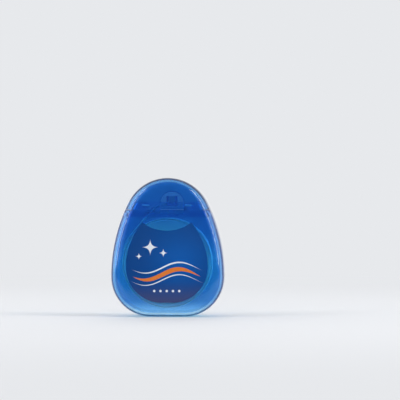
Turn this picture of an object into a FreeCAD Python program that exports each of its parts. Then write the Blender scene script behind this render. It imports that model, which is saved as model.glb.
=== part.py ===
import FreeCAD, Part
import math
import os

# Egg-shaped dental floss dispenser with a flip-top lid, standing on the short flat of its bottom edge.
# Millimetres and degrees. X runs across the front, the front faces -Y, Z is up, the floor is z = 0.

# Case
case_width = 40.0
case_height = 49.0
case_depth = 17.0
case_base_flat = 12.0
case_top_radius = 15.3
case_wall = 1.3
edge_rounding = 4.4
face_crown_radius = 300.0
least_rounding = 0.3

# Joint between the two half shells
tongue_length = 1.0
tongue_thickness = 0.55
fit_gap = 0.05

# Lid and its hinge
lid_height = 11.2
lid_seam_gap = 0.08
lid_open_angle = 110.0
groove_spare_angle = 2.0
hinge_knuckle_radius = 1.0
hinge_pin_radius = 0.5
hinge_pin_length = 1.4
hinge_pin_end_gap = 0.2
hinge_relief = 0.25
hinge_side_gap = 0.2
hinge_web_height = 1.8
hinge_web_reach = 0.4
lid_knuckle_length = 9.6
hinge_ear_length = 2.0

# Insert that closes the top of the case and carries the blade
insert_wall = 1.0
insert_skirt_drop = 1.4
insert_hinge_room = 1.0
deck_thickness = 1.1
deck_drop = 0.1
collar_height = 2.8
collar_gap = 0.5
bead_height = 0.4
bead_width = 1.0
bead_lift = 0.3
snap_bar_length = 2.9
snap_bar_radius = 0.3
snap_bar_offset = 7.5
snap_bar_lift = 1.6

# Guide hole for the floss
guide_hole_length = 3.2
guide_hole_width = 1.6
guide_hole_offset = 6.0
guide_hole_chamfer = 0.3

# Cutter tower and blade
tower_offset = 1.5
tower_width = 8.8
tower_thickness = 3.6
tower_height = 6.7
tower_front_setback = 2.0
tower_pocket_depth = 2.2
blade_thickness = 0.3
blade_margin = 0.3
blade_window_width = 3.9
blade_window_height = 3.6
blade_window_lift = 1.3
blade_tongue_width = 2.4
blade_tongue_length = 3.0
blade_tongue_angle = 28.0
blade_leg_width = 3.0
blade_leg_offset = 2.6
blade_foot_length = 1.6

# Bobbin, winding and the posts it turns on
winding_side_gap = 2.7
winding_bottom_gap = 1.7
winding_top_gap = 1.7
winding_width = 11.0
winding_corner_rounding = 0.8
strand_diameter = 0.5
strand_pitch = 0.95
strand_turns = 11
strand_seat_gap = 0.03
post_radius = 3.0
post_bore_radius = 1.55
post_bore_depth = 5.0
post_running_gap = 0.08
shoulder_radius = 4.4
shoulder_wall = 1.0
core_half_length = 6.2
core_end_gap = 0.15
core_hub_wall = 1.0
core_drum_radius = 6.2
core_drum_wall = 0.8
core_drum_half_length = 5.6
core_web_thickness = 0.8
core_web_half_length = 5.0
core_web_count = 6
spigot_length = 4.0

# Floss lead from the winding to the blade
lead_winding_gap = 0.3
lead_plate_gap = 0.1
lead_end_lift = 3.0
lead_end_offset = 0.3
lead_rise = 2.2
lead_run = 4.2
arc_run_share = 0.45

# Label in its recess
label_thickness = 0.12
label_recess_depth = 0.15
label_edge_gap = 0.1
label_side_margin = 1.2
label_bottom_margin = 0.7
label_top_drop = 4.5
label_base_flat = 4.0
label_top_sag = 2.9
label_corner_width_share = 0.6

# Room by which a cutting solid runs past what it cuts
overrun = 3.0

# Places that follow from the sizes above
half_width = case_width / 2
half_depth = case_depth / 2
middle_height = case_height / 2
seam_height = case_height - lid_height
deck_top = seam_height - deck_drop
deck_bottom = deck_top - deck_thickness
skirt_bottom = deck_bottom - insert_skirt_drop
collar_top = deck_top + collar_height
bead_bottom = skirt_bottom + bead_lift
bead_top = bead_bottom + bead_width
tower_top = deck_top + tower_height
tower_front = -tower_front_setback
blade_front = tower_front - blade_thickness

room_across = half_width - case_wall - winding_side_gap
room_upright = (deck_bottom - winding_top_gap - case_wall - winding_bottom_gap) / 2
winding_radius = min(room_across, room_upright)
spool_height = case_wall + winding_bottom_gap + winding_radius
strand_radius = strand_diameter / 2
drum_radius = winding_radius - strand_diameter - strand_seat_gap

up = FreeCAD.Vector(0, 0, 1)
backward = FreeCAD.Vector(0, 1, 0)
rightward = FreeCAD.Vector(1, 0, 0)


def point(x, y, z):
    return FreeCAD.Vector(x, y, z)


def circle_arc(centre_x, centre_z, radius, first_angle, last_angle, y):
    """Arc in an upright plane, given by its centre, radius and two angles in radians."""
    angles = (first_angle, (first_angle + last_angle) / 2, last_angle)
    points = [point(centre_x + radius * math.cos(a), y, centre_z + radius * math.sin(a)) for a in angles]
    return Part.Arc(*points).toShape()


def box(x0, x1, y0, y1, z0, z1):
    return Part.makeBox(x1 - x0, y1 - y0, z1 - z0, point(x0, y0, z0))


def slab(z0, z1):
    """Level layer that reaches past the case on every side."""
    reach_x = half_width + overrun
    reach_y = half_depth + overrun
    return box(-reach_x, reach_x, -reach_y, reach_y, z0, z1)


def case_outline(inset, y):
    """Egg outline seen from the front: flat foot, two lower corners, two flanks and a round top."""
    corner = (case_width - case_base_flat) / 2
    rise = case_height - corner
    top = case_top_radius
    flank = (half_width ** 2 + rise ** 2 - 2 * top * rise) / (case_width - 2 * top)
    flank_x = half_width - flank
    top_z = case_height - top
    foot_x = case_base_flat / 2
    meet = math.atan2(top_z - corner, -flank_x)
    right = math.pi / 2
    edges = [
        Part.makeLine(point(-foot_x, y, inset), point(foot_x, y, inset)),
        circle_arc(foot_x, corner, corner - inset, -right, 0, y),
        circle_arc(flank_x, corner, flank - inset, 0, meet, y),
        circle_arc(0, top_z, top - inset, meet, math.pi - meet, y),
        circle_arc(-flank_x, corner, flank - inset, math.pi - meet, math.pi, y),
        circle_arc(-foot_x, corner, corner - inset, math.pi, math.pi + right, y),
    ]
    return Part.Wire(edges)


def case_prism(inset, y0, y1):
    return Part.Face(case_outline(inset, y0)).extrude(backward * (y1 - y0))


def crown_ball(inset, side):
    """Large ball whose near side is the crowned front (side -1) or back (side 1)."""
    centre_y = side * (half_depth - face_crown_radius)
    return Part.makeSphere(face_crown_radius - inset, point(0, centre_y, middle_height))


def crown_depth(inset, x, z):
    """Distance from the middle plane to the crowned face at one place."""
    reach = (face_crown_radius - inset) ** 2 - x ** 2 - (z - middle_height) ** 2
    return half_depth - face_crown_radius + math.sqrt(reach)


def case_solid(inset):
    """Pillow-shaped egg, every surface moved inwards by the inset."""
    pillow = case_prism(inset, -half_depth - overrun, half_depth + overrun)
    for side in (-1, 1):
        pillow = pillow.common(crown_ball(inset, side))
    rims = [edge for edge in pillow.Edges if edge.BoundBox.YLength < half_depth / 2]
    return pillow.makeFillet(max(edge_rounding - inset, least_rounding), rims)


def fused(first, others):
    return first.fuse(others).removeSplitter()


def along_x(radius, x0, x1, y, z):
    return Part.makeCylinder(radius, x1 - x0, point(x0, y, z), rightward)


def along_y(radius, y0, y1, x, z):
    return Part.makeCylinder(radius, y1 - y0, point(x, y0, z), backward)


def ring_y(outer_radius, inner_radius, y0, y1, x, z):
    ring = along_y(outer_radius, y0, y1, x, z)
    return ring.cut(along_y(inner_radius, y0 - overrun, y1 + overrun, x, z))


# Hinge line, as far back as the barrels allow without standing out of the case
lid_knuckle_x = lid_knuckle_length / 2
ear_inner_x = lid_knuckle_x + hinge_side_gap
ear_outer_x = ear_inner_x + hinge_ear_length
hinge_y = crown_depth(0, ear_outer_x, seam_height) - hinge_knuckle_radius
hinge_z = seam_height


def hinge_wedge(direction):
    """Wedge behind the hinge line, above it (1) or below it (-1), that lets the lid swing back."""
    angle = math.radians(lid_open_angle / 2 + groove_spare_angle)
    reach = half_depth - hinge_y + overrun
    x = half_width + overrun
    corners = [
        point(-x, hinge_y, hinge_z),
        point(-x, hinge_y + reach, hinge_z),
        point(-x, hinge_y + reach, hinge_z + direction * reach * math.tan(angle)),
    ]
    outline = Part.makePolygon(corners + corners[:1])
    return Part.Face(outline).extrude(rightward * (2 * x))


def wall_between(z0, z1):
    """The hollow case wall between two levels."""
    return case_solid(0).cut(case_solid(case_wall)).common(slab(z0, z1))


def bead_groove():
    """Groove round the inside of the case that traps the bead of the insert."""
    tool = case_solid(case_wall - bead_height - fit_gap)
    return tool.common(slab(bead_bottom - fit_gap, bead_top + fit_gap))


def label_outline(grow, y):
    """Egg outline with a hollow top edge, widened all round by a small amount."""
    widest = half_width - edge_rounding - label_side_margin + grow
    bottom = edge_rounding + label_bottom_margin - grow
    foot_x = label_base_flat / 2
    corner = widest - foot_x
    widest_z = bottom + corner
    top_z = seam_height - label_top_drop + grow
    corner_x = widest * label_corner_width_share
    rise = top_z - widest_z
    flank = ((widest - corner_x) ** 2 + rise ** 2) / (2 * (widest - corner_x))
    flank_x = widest - flank
    turn = math.asin(rise / flank)
    right = math.pi / 2
    hollow = Part.Arc(
        point(corner_x, y, top_z),
        point(0, y, top_z - label_top_sag),
        point(-corner_x, y, top_z),
    )
    edges = [
        Part.makeLine(point(-foot_x, y, bottom), point(foot_x, y, bottom)),
        circle_arc(foot_x, widest_z, corner, -right, 0, y),
        circle_arc(flank_x, widest_z, flank, 0, turn, y),
        hollow.toShape(),
        circle_arc(-flank_x, widest_z, flank, math.pi - turn, math.pi, y),
        circle_arc(-foot_x, widest_z, corner, math.pi, math.pi + right, y),
    ]
    return Part.Wire(edges)


def label_prism(grow):
    start = -half_depth - overrun
    return Part.Face(label_outline(grow, start)).extrude(backward * (half_depth + overrun))


def front_label():
    """Film with the curve of the front face, lying on the floor of its recess."""
    outer = crown_ball(label_recess_depth - label_thickness, -1)
    inner = crown_ball(label_recess_depth, -1)
    return label_prism(0).common(outer).cut(inner)


def front_shell():
    shell = wall_between(-overrun, seam_height)
    shell = shell.cut(box(-case_width, case_width, 0, case_depth, -overrun, case_height + overrun))
    shell = shell.cut(case_prism(case_wall - tongue_thickness - fit_gap, -tongue_length - fit_gap, overrun))
    shell = shell.cut(bead_groove())
    shell = shell.cut(label_prism(label_edge_gap).cut(crown_ball(label_recess_depth, -1)))
    wall_y = -half_depth + (case_wall + label_recess_depth) / 2
    shoulder_y = -core_half_length - core_end_gap
    tip_y = -post_tip() + spigot_length
    shoulder = ring_y(shoulder_radius, shoulder_radius - shoulder_wall, wall_y, shoulder_y, 0, spool_height)
    spigot = along_y(post_bore_radius - fit_gap, wall_y, tip_y, 0, spool_height)
    return fused(shell, [shoulder, spigot])


def post_tip():
    """Depth that the post of the rear shell reaches forward of the middle plane."""
    return core_half_length - core_end_gap


def hinge_ears():
    """Two barrels on the rear shell with webs down into its wall."""
    ears = []
    for side in (-1, 1):
        x0 = min(side * ear_inner_x, side * ear_outer_x)
        x1 = max(side * ear_inner_x, side * ear_outer_x)
        barrel = along_x(hinge_knuckle_radius, x0, x1, hinge_y, hinge_z)
        web = box(x0, x1, hinge_y - hinge_knuckle_radius, hinge_y + hinge_web_reach,
                  hinge_z - hinge_web_height, hinge_z)
        ears.append(barrel.fuse(web))
    return ears


def hinge_pin_room(gap, end_gap):
    """Space of the two stub pins, with room round them and at their ends."""
    end_x = lid_knuckle_x + hinge_pin_length + end_gap
    return along_x(hinge_pin_radius + gap, -end_x, end_x, hinge_y, hinge_z)


def rear_shell():
    shell = wall_between(-overrun, seam_height)
    shell = shell.cut(box(-case_width, case_width, -case_depth, 0, -overrun, case_height + overrun))
    tongue = case_prism(case_wall - tongue_thickness, -tongue_length, case_wall)
    tongue = tongue.cut(case_prism(case_wall, -tongue_length - overrun, case_wall + overrun))
    tongue = tongue.common(slab(-overrun, seam_height))
    shell = shell.fuse(tongue)
    shell = shell.cut(bead_groove())
    shell = shell.cut(hinge_wedge(-1))
    room_x = lid_knuckle_x + hinge_side_gap
    shell = shell.cut(along_x(hinge_knuckle_radius + hinge_relief, -room_x, room_x, hinge_y, hinge_z))
    wall_y = half_depth - case_wall / 2
    shoulder_y = core_half_length + core_end_gap
    shoulder = along_y(shoulder_radius, shoulder_y, wall_y, 0, spool_height)
    post = along_y(post_radius, -post_tip(), wall_y, 0, spool_height)
    shell = fused(shell, [shoulder, post] + hinge_ears())
    bore = along_y(post_bore_radius, -post_tip() - overrun, -post_tip() + post_bore_depth, 0, spool_height)
    return shell.cut(bore).cut(hinge_pin_room(fit_gap, hinge_pin_end_gap))


def flip_lid():
    lid = wall_between(seam_height + lid_seam_gap, case_height + overrun)
    lid = lid.cut(hinge_wedge(1))
    for side in (-1, 1):
        x0 = min(side * lid_knuckle_x, side * (ear_outer_x + hinge_side_gap))
        x1 = max(side * lid_knuckle_x, side * (ear_outer_x + hinge_side_gap))
        lid = lid.cut(along_x(hinge_knuckle_radius + hinge_relief, x0, x1, hinge_y, hinge_z))
    barrel = along_x(hinge_knuckle_radius, -lid_knuckle_x, lid_knuckle_x, hinge_y, hinge_z)
    web = box(-lid_knuckle_x, lid_knuckle_x, hinge_y - hinge_knuckle_radius, hinge_y + hinge_web_reach,
              hinge_z, hinge_z + hinge_web_height)
    return fused(lid, [barrel, web, hinge_pin_room(0, 0)])


def rounded_slot(length, width, x, y, z0, z1):
    """Upright slot with round ends, lying along X."""
    straight = (length - width) / 2
    middle = box(x - straight, x + straight, y - width / 2, y + width / 2, z0, z1)
    ends = [Part.makeCylinder(width / 2, z1 - z0, point(x + side * straight, y, z0), up) for side in (-1, 1)]
    return fused(middle, ends)


def arch_prism(width, base_z, top_z, y0, y1):
    """Block with a half-round top, centred on the cutter tower."""
    radius = width / 2
    spring_z = top_z - radius
    edges = [
        Part.makeLine(point(tower_offset - radius, y0, base_z), point(tower_offset + radius, y0, base_z)),
        Part.makeLine(point(tower_offset + radius, y0, base_z), point(tower_offset + radius, y0, spring_z)),
        circle_arc(tower_offset, spring_z, radius, 0, math.pi, y0),
        Part.makeLine(point(tower_offset - radius, y0, spring_z), point(tower_offset - radius, y0, base_z)),
    ]
    return Part.Face(Part.Wire(edges)).extrude(backward * (y1 - y0))


def blade_window(y0, y1):
    window_bottom = deck_top + blade_window_lift
    x0 = tower_offset - blade_window_width / 2
    x1 = tower_offset + blade_window_width / 2
    return box(x0, x1, y0, y1, window_bottom, window_bottom + blade_window_height)


def leg_places():
    """Left and right edges of the two legs of the blade."""
    centres = (tower_offset - blade_leg_offset, tower_offset + blade_leg_offset)
    return [(x - blade_leg_width / 2, x + blade_leg_width / 2) for x in centres]


def snap_bars():
    """Two small rounded bars on the front of the collar that the lid snaps over."""
    z = deck_top + snap_bar_lift
    y = -crown_depth(case_wall + collar_gap, snap_bar_offset, z)
    half = snap_bar_length / 2
    bars = []
    for x in (-snap_bar_offset, snap_bar_offset):
        bar = along_x(snap_bar_radius, x - half, x + half, y, z)
        ends = [Part.makeSphere(snap_bar_radius, point(x + side * half, y, z)) for side in (-1, 1)]
        bars.append(bar.fuse(ends))
    return bars


def cutter_insert():
    seat = case_wall + fit_gap
    collar_inset = case_wall + collar_gap
    seat_outer = case_solid(seat)
    seat_inner = case_solid(seat + insert_wall)
    collar = case_solid(collar_inset).cut(case_solid(collar_inset + insert_wall))
    collar = collar.common(slab(deck_bottom, collar_top))
    skirt = seat_outer.cut(seat_inner).common(slab(skirt_bottom, deck_top))
    deck = seat_outer.common(slab(deck_bottom, deck_top))
    bead = case_solid(seat - bead_height).cut(seat_inner).common(slab(bead_bottom, bead_top))
    tower = arch_prism(tower_width, deck_bottom, tower_top, tower_front, tower_front + tower_thickness)
    insert = fused(deck, [skirt, collar, bead, tower] + snap_bars())
    relief_y = hinge_y - hinge_knuckle_radius - insert_hinge_room
    relief_x = ear_outer_x + hinge_side_gap
    relief = box(-relief_x, relief_x, relief_y, half_depth + overrun, skirt_bottom - overrun,
                 collar_top + overrun)
    insert = insert.cut(relief)
    insert = insert.cut(blade_window(tower_front - overrun, tower_front + tower_pocket_depth))
    lead_y = lead_depth()
    guide = rounded_slot(guide_hole_length, guide_hole_width, -guide_hole_offset, lead_y,
                         deck_bottom - overrun, deck_top + overrun)
    insert = insert.cut(guide)
    for x0, x1 in leg_places():
        insert = insert.cut(box(x0 - fit_gap, x1 + fit_gap, blade_front - fit_gap, tower_front,
                                deck_bottom - overrun, deck_top + fit_gap))
    rims = [edge for edge in insert.Edges if is_guide_rim(edge, lead_y)]
    return insert.makeChamfer(guide_hole_chamfer, rims)


def is_guide_rim(edge, lead_y):
    """True for the upper and lower rim of the guide hole."""
    reach = guide_hole_length / 2 + fit_gap
    bounds = edge.BoundBox
    level = bounds.ZLength < fit_gap
    at_face = min(abs(bounds.ZMin - deck_top), abs(bounds.ZMin - deck_bottom)) < fit_gap
    across = abs(edge.CenterOfMass.x + guide_hole_offset) < reach
    deep = abs(edge.CenterOfMass.y - lead_y) < guide_hole_width / 2 + fit_gap
    return level and at_face and across and deep


def cutter_blade():
    """Stamped plate on the front of the tower, its tongue bent out and its legs clinched below the deck."""
    plate_width = tower_width - 2 * blade_margin
    plate = arch_prism(plate_width, deck_top + fit_gap, tower_top - blade_margin, blade_front, tower_front)
    plate = plate.cut(blade_window(blade_front - overrun, tower_front + overrun))
    pieces = [blade_tongue()]
    foot_top = deck_bottom - fit_gap
    for x0, x1 in leg_places():
        pieces.append(box(x0, x1, blade_front, tower_front, foot_top - blade_thickness, deck_top + 2 * fit_gap))
        pieces.append(box(x0, x1, blade_front, tower_front + blade_foot_length,
                          foot_top - blade_thickness, foot_top))
    return fused(plate, pieces)


def blade_tongue():
    """Tongue that hangs from the top of the window and leans out, with a round tip."""
    lean = math.radians(blade_tongue_angle)
    root_z = deck_top + blade_window_lift + blade_window_height + blade_thickness
    length = blade_tongue_length + blade_thickness
    tip_y = tower_front - length * math.sin(lean)
    tip_z = root_z - length * math.cos(lean)
    radius = blade_tongue_width / 2
    side_y = blade_thickness * math.cos(lean)
    side_z = blade_thickness * math.sin(lean)
    x0 = tower_offset - radius
    corners = [
        point(x0, tower_front, root_z),
        point(x0, tip_y, tip_z),
        point(x0, tip_y - side_y, tip_z + side_z),
        point(x0, blade_front, root_z),
    ]
    strip = Part.Face(Part.makePolygon(corners + corners[:1])).extrude(rightward * blade_tongue_width)
    near_y = tip_y - overrun
    far_y = tower_front + overrun
    round_end = along_y(radius, near_y, far_y, tower_offset, tip_z + radius)
    straight = box(x0, x0 + blade_tongue_width, near_y, far_y, tip_z + radius, root_z)
    return strip.common(fused(round_end, [straight]))


def spool_core():
    """Bobbin core: a hub that runs on the post, a drum for the winding and webs between them."""
    hub_inner = post_radius + post_running_gap
    hub_outer = hub_inner + core_hub_wall
    hub = ring_y(hub_outer, hub_inner, -core_half_length, core_half_length, 0, spool_height)
    drum_inner = core_drum_radius - core_drum_wall
    drum = ring_y(core_drum_radius, drum_inner, -core_drum_half_length, core_drum_half_length, 0, spool_height)
    webs = []
    for count in range(core_web_count):
        web = box(-core_web_thickness / 2, core_web_thickness / 2, -core_web_half_length, core_web_half_length,
                  hub_outer - core_hub_wall / 2, drum_inner + core_drum_wall / 2)
        web.rotate(point(0, 0, 0), backward, count * 360 / core_web_count)
        web.translate(up * spool_height)
        webs.append(web)
    return fused(hub, [drum] + webs)


def floss_winding():
    """Body of the winding, a thick ring with softly rounded corners."""
    inner = core_drum_radius + fit_gap
    half = winding_width / 2
    body = ring_y(drum_radius, inner, -half, half, 0, spool_height)
    rims = [edge for edge in body.Edges if edge.BoundBox.YLength < strand_radius
            and edge.BoundBox.ZLength > 2 * inner + winding_corner_rounding]
    return body.makeFillet(winding_corner_rounding, rims)


def arc_middle(start, tangent, end):
    """Middle of the arc that leaves the start along the tangent and ends at the given point."""
    chord = end - start
    normal = (chord - tangent * chord.dot(tangent)).normalize()
    radius = chord.dot(chord) / (2 * chord.dot(normal))
    centre = start + normal * radius
    return centre + ((start + end) / 2 - centre).normalize() * radius


def helix_state(angle, radius):
    """Point and unit tangent of the outer turns at one angle, counted from the front end."""
    y = -strand_turns * strand_pitch / 2 + strand_pitch * angle / (2 * math.pi)
    place = point(radius * math.cos(angle), y, spool_height + radius * math.sin(angle))
    slope = point(-radius * math.sin(angle), strand_pitch / (2 * math.pi), radius * math.cos(angle))
    return place, slope.normalize()


def floss_outer_turns():
    """Outer layer of the winding: one strand on two arcs for each quarter turn, with straight ends."""
    radius = drum_radius + strand_seat_gap + strand_radius
    quarter = math.pi / 2
    first, first_slope = helix_state(0, radius)
    edges = [Part.makeLine(first - first_slope * strand_diameter, first)]
    for step in range(4 * strand_turns):
        start, start_slope = helix_state(step * quarter, radius)
        end, end_slope = helix_state((step + 1) * quarter, radius)
        chord = end - start
        slopes = start_slope + end_slope
        spread = 2 * (1 - start_slope.dot(end_slope))
        root = math.sqrt(chord.dot(slopes) ** 2 + spread * chord.dot(chord))
        reach = (root - chord.dot(slopes)) / spread
        joint = (start + end + (start_slope - end_slope) * reach) / 2
        edges.append(Part.Arc(start, arc_middle(start, start_slope, joint), joint).toShape())
        edges.append(Part.Arc(joint, arc_middle(end, end_slope * -1, joint), end).toShape())
    edges.append(Part.makeLine(end, end + end_slope * strand_diameter))
    return path_tube(Part.Wire(edges), first - first_slope * strand_diameter, first_slope)


def path_tube(path, start, direction):
    profile = Part.Wire(Part.makeCircle(strand_radius, start, direction))
    return path.makePipeShell([profile], True, False)


def least_turn_gap():
    """Least distance between neighbouring turns, measured on points a twelfth of a turn apart."""
    radius = drum_radius + strand_seat_gap + strand_radius
    steps_per_turn = 12
    places = [helix_state(step * 2 * math.pi / steps_per_turn, radius)[0]
              for step in range(strand_turns * steps_per_turn + 1)]
    least = min(places[i].distanceToPoint(places[j]) for i in range(len(places))
                for j in range(i + steps_per_turn // 2, len(places)))
    return least - strand_diameter


def lead_depth():
    """Depth of the lead, just in front of the plate of the blade."""
    return blade_front - lead_plate_gap - strand_radius


def floss_lead():
    """Strand from the side of the winding up through the guide hole and in behind the tongue."""
    y = lead_depth()
    end = point(tower_offset + lead_end_offset, y, deck_top + lead_end_lift)
    turn_in = end - point(lead_run, 0, lead_end_lift - lead_rise)
    hole = point(-guide_hole_offset, y, (deck_top + deck_bottom) / 2)
    clear_radius = winding_radius + lead_winding_gap + strand_radius
    reach = hole - point(0, y, spool_height)
    hole_angle = math.atan2(reach.z, reach.x)
    touch_angle = hole_angle + math.acos(clear_radius / reach.Length)
    start = point(clear_radius * math.cos(touch_angle), y, spool_height + clear_radius * math.sin(touch_angle))
    points = [start, hole, turn_in, end]
    edges = []
    at = start
    for before, corner, after in zip(points, points[1:], points[2:]):
        run_in = (before - corner).normalize()
        run_out = (after - corner).normalize()
        shorter = min((before - corner).Length, (after - corner).Length)
        trim = arc_run_share * shorter
        turn = math.pi - run_in.getAngle(run_out)
        print("lead bend radius", round(trim / math.tan(turn / 2), 2))
        arc_start = corner + run_in * trim
        arc_end = corner + run_out * trim
        edges.append(Part.makeLine(at, arc_start))
        edges.append(Part.Arc(arc_start, arc_middle(arc_start, run_in * -1, arc_end), arc_end).toShape())
        at = arc_end
    edges.append(Part.makeLine(at, end))
    path = Part.Wire(edges)
    print("lead length", round(path.Length, 2))
    return path_tube(path, start, (hole - start).normalize())


pieces = {
    "front_shell": front_shell,
    "rear_shell": rear_shell,
    "flip_lid": flip_lid,
    "cutter_insert": cutter_insert,
    "cutter_blade": cutter_blade,
    "spool_core": spool_core,
    "floss_winding": floss_winding,
    "floss_outer_turns": floss_outer_turns,
    "floss_lead": floss_lead,
    "front_label": front_label,
}

os.makedirs("parts", exist_ok=True)
for name, make in pieces.items():
    shape = make()
    shape.exportStep("parts/" + name + ".step")
    print(name, "solids", len(shape.Solids), "valid", shape.isValid(), "volume", round(shape.Volume, 2))
print("least gap between the outer turns", round(least_turn_gap(), 3))
print("hinge line y", round(hinge_y, 3), "z", round(hinge_z, 3), "winding radius", round(winding_radius, 3))
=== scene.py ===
import math

import bpy
import numpy as np
from mathutils import Matrix, Vector


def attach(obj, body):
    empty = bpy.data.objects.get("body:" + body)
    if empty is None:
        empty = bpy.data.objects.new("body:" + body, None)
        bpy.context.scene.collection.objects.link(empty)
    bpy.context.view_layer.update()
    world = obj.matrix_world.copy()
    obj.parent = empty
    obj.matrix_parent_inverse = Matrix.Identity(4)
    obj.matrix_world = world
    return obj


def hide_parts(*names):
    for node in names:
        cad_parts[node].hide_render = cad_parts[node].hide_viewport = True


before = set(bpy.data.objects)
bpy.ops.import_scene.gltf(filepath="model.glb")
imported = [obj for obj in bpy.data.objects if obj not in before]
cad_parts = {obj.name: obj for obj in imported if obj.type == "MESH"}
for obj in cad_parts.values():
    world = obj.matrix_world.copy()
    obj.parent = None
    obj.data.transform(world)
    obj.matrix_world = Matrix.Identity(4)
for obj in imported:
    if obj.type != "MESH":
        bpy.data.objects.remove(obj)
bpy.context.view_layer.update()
mm = 0.001


# small helpers for node trees

def addNode(tree, kind, **settings):
    node = tree.nodes.new(kind)
    for name, value in settings.items():
        setattr(node, name, value)
    return node


def setInputs(node, **values):
    for name, value in values.items():
        node.inputs[name.replace("_", " ")].default_value = value
    return node


def joinSockets(tree, *pairs):
    for start, end in pairs:
        tree.links.new(start, end)


def mathNode(tree, operation, first, second=None, third=None, clamp=False):
    node = addNode(tree, "ShaderNodeMath", operation=operation, use_clamp=clamp)
    for socket, value in zip(node.inputs, (first, second, third)):
        if value is None:
            continue
        if isinstance(value, (int, float)):
            socket.default_value = value
        else:
            tree.links.new(value, socket)
    return node.outputs[0]


def mixColours(tree, factor, first, second):
    node = addNode(tree, "ShaderNodeMix", data_type="RGBA")
    for socket, value in ((node.inputs[0], factor), (node.inputs[6], first), (node.inputs[7], second)):
        if isinstance(value, (int, float)):
            socket.default_value = value
        elif isinstance(value, tuple):
            socket.default_value = (*value, 1)
        else:
            tree.links.new(value, socket)
    return node.outputs[2]


def splitAxes(tree, vector):
    node = addNode(tree, "ShaderNodeSeparateXYZ")
    joinSockets(tree, (vector, node.inputs[0]))
    return node.outputs


def rangeMask(tree, value, limits, levels=(0.0, 1.0)):
    # the first level before the first limit, the second past the second, smooth between them
    node = addNode(tree, "ShaderNodeMapRange", interpolation_type="SMOOTHSTEP")
    setInputs(node, From_Min=limits[0], From_Max=limits[1], To_Min=levels[0], To_Max=levels[1])
    joinSockets(tree, (value, node.inputs["Value"]))
    return node.outputs[0]


def noiseIn(tree, vector, scale, detail, roughness):
    node = setInputs(addNode(tree, "ShaderNodeTexNoise"), Detail=detail, Roughness=roughness)
    joinSockets(tree, (vector, node.inputs["Vector"]), (scale, node.inputs["Scale"]))
    return node.outputs[0]


def newMaterial(name):
    material = bpy.data.materials.new(name)
    material.use_nodes = True
    tree = material.node_tree
    tree.nodes.clear()
    out = addNode(tree, "ShaderNodeOutputMaterial")
    shader = addNode(tree, "ShaderNodeBsdfPrincipled")
    joinSockets(tree, (shader.outputs[0], out.inputs[0]))
    return material, tree, shader


def finishSurface(tree, shader, colour, roughness, height, look):
    # colour and roughness as given, and the height as a bump of the look's strength and depth in metres
    bump = setInputs(addNode(tree, "ShaderNodeBump"), Strength=look["bump"], Distance=look["bumpDepth"])
    joinSockets(tree, (height, bump.inputs["Height"]), (bump.outputs[0], shader.inputs["Normal"]),
                (colour, shader.inputs["Base Color"]), (roughness, shader.inputs["Roughness"]))


def newGroup(name, inputs, outputs):
    group = bpy.data.node_groups.new(name, "ShaderNodeTree")
    for socketName, kind, value in inputs:
        socket = group.interface.new_socket(name=socketName, in_out="INPUT", socket_type=kind)
        if value is not None:
            socket.default_value = value
    for socketName, kind in outputs:
        group.interface.new_socket(name=socketName, in_out="OUTPUT", socket_type=kind)
    return group, group.nodes.new("NodeGroupInput"), group.nodes.new("NodeGroupOutput")


def placeGroup(tree, group, vector, **values):
    node = tree.nodes.new("ShaderNodeGroup")
    node.node_tree = group
    tree.links.new(vector, node.inputs["Vector"])
    setInputs(node, **values)
    return node.outputs[0]


# shared effects: handling marks, slow drift of tone, moulded grain

marksLook = {"strokes": (((0.25, 0.25, 3.2), 0.5), ((3.0, 0.3, 0.22), 0.35)),      # stretch and turn of each
             "thinness": 26.0, "smearScale": 0.16, "smearFrom": 0.42, "smearGain": 3.0}


def makeMarksGroup():
    # fine scratches both ways, 1 - thinness |noise - 0.5|, kept to the soft smears that a coarser noise gives
    look = marksLook
    group, start, end = newGroup(
        "handlingMarks",
        [("Vector", "NodeSocketVector", None), ("Scale", "NodeSocketFloat", 1000.0),
         ("Strength", "NodeSocketFloat", 1.0)],
        [("Marks", "NodeSocketFloat")])
    vector, scale, strength = (start.outputs[name] for name in ("Vector", "Scale", "Strength"))
    scratches = []
    for stretch, turn in look["strokes"]:
        mapping = addNode(group, "ShaderNodeMapping")
        mapping.inputs["Rotation"].default_value = (0, turn, 0)
        mapping.inputs["Scale"].default_value = stretch
        joinSockets(group, (vector, mapping.inputs["Vector"]))
        noise = noiseIn(group, mapping.outputs[0], scale, detail=4.0, roughness=0.7)
        ridge = mathNode(group, "ABSOLUTE", mathNode(group, "SUBTRACT", noise, 0.5))
        wide = mathNode(group, "MULTIPLY", ridge, look["thinness"])
        scratches.append(mathNode(group, "SUBTRACT", 1.0, wide, clamp=True))
    both = mathNode(group, "MAXIMUM", *scratches)
    smearScale = mathNode(group, "MULTIPLY", scale, look["smearScale"])
    smear = noiseIn(group, vector, smearScale, detail=2.0, roughness=0.5)
    above = mathNode(group, "SUBTRACT", smear, look["smearFrom"], clamp=True)
    patch = mathNode(group, "MULTIPLY", above, look["smearGain"], clamp=True)
    marks = mathNode(group, "MULTIPLY", mathNode(group, "MULTIPLY", both, patch), strength)
    joinSockets(group, (marks, end.inputs["Marks"]))
    return group


def makeDriftGroup():
    # slow unevenness of tone, 0 to 1
    group, start, end = newGroup(
        "toneDrift",
        [("Vector", "NodeSocketVector", None), ("Scale", "NodeSocketFloat", 120.0)],
        [("Drift", "NodeSocketFloat")])
    drift = noiseIn(group, start.outputs["Vector"], start.outputs["Scale"], detail=3.0, roughness=0.55)
    joinSockets(group, (drift, end.inputs["Drift"]))
    return group


grainLook = {"waveScale": 0.06, "fineShare": 0.25}


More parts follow.
